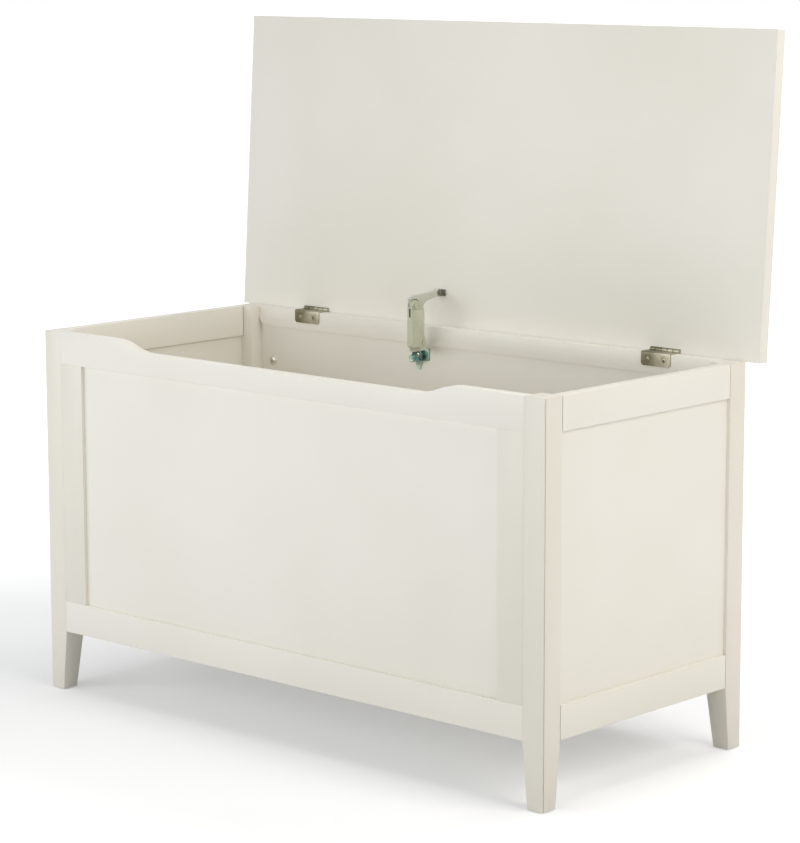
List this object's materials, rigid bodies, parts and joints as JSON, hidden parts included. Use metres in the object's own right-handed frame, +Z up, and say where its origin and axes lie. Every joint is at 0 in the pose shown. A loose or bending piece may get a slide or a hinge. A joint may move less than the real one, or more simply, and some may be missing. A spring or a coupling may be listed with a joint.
{
  "type": "storage chest",
  "caption": "Painted blanket chest on tapered legs, with framed panels, a scooped front rail and a slab lid on rear hinges, held open by a folding lid stay.",
  "frame": {"origin": "On the floor, under the middle of the outline of the chest with its lid open.", "axes": "+X to the right along the front, +Y to the back, +Z up; the front faces -Y."},
  "size_m": [0.924, 0.439, 0.9146],
  "materials": {
    "white_paint": "warm white satin paint on solid wood and board",
    "hinge_steel": "brushed steel",
    "stay_body": "pale grey-green moulded nylon",
    "zinc_plate": "blue zinc plating",
    "dark_plastic": "matt moulded plastic"
  },
  "bodies": {
    "carcass": {"back_bottom_rail": "white_paint", "back_panel": "white_paint", "back_panel_screws": "zinc_plate", "back_top_rail": "white_paint", "floor_panel": "white_paint", "foot_glides": "dark_plastic", "front_bottom_rail": "white_paint", "front_floor_cleat": "white_paint", "front_left_post": "white_paint", "front_left_stile": "white_paint", "front_panel": "white_paint", "front_right_post": "white_paint", "front_right_stile": "white_paint", "front_top_rail": "white_paint", "hinge_frame_screws": "hinge_steel", "left_bottom_rail": "white_paint", "left_floor_cleat": "white_paint", "left_hinge_frame_leaf": "hinge_steel", "left_hinge_pin": "hinge_steel", "left_panel": "white_paint", "left_top_rail": "white_paint", "rear_floor_cleat": "white_paint", "rear_left_post": "white_paint", "rear_right_post": "white_paint", "right_bottom_rail": "white_paint", "right_floor_cleat": "white_paint", "right_hinge_frame_leaf": "hinge_steel", "right_hinge_pin": "hinge_steel", "right_panel": "white_paint", "right_top_rail": "white_paint", "stay_base": "zinc_plate", "stay_base_pin": "zinc_plate", "stay_base_screws": "zinc_plate"},
    "lid": {"lid_panel": "white_paint", "left_hinge_lid_leaf": "hinge_steel", "right_hinge_lid_leaf": "hinge_steel", "hinge_lid_screws": "hinge_steel", "stay_lid_bracket": "zinc_plate", "stay_end_stud": "zinc_plate", "stay_bracket_screws": "zinc_plate"},
    "stay_channel": {"stay_housing": "stay_body", "stay_rivet": "zinc_plate", "stay_damper": "zinc_plate"},
    "stay_arm": {"stay_lever": "stay_body"}
  },
  "joints": [
    {"name": "lid_hinge", "type": "hinge", "parent": "carcass", "child": "lid", "pos_m": [0, 0.17768, 0.502], "axis": [1, 0, 0], "range_deg": [0, 93.6]},
    {"name": "stay_foot_pivot", "type": "hinge", "parent": "carcass", "child": "stay_channel", "pos_m": [-0.0775, 0.14008, 0.4803], "axis": [1, 0, 0], "range_deg": [0, 75.13]},
    {"name": "stay_elbow_pivot", "type": "hinge", "parent": "stay_channel", "child": "stay_arm", "pos_m": [-0.0775, 0.12458, 0.5321], "axis": [1, 0, 0], "range_deg": [-70.37, 0]}
  ],
  "couplings": [
    {"joint": "stay_foot_pivot", "follows": "lid_hinge", "ratio": 0.80259},
    {"joint": "stay_elbow_pivot", "follows": "lid_hinge", "ratio": -0.75173}
  ]
}
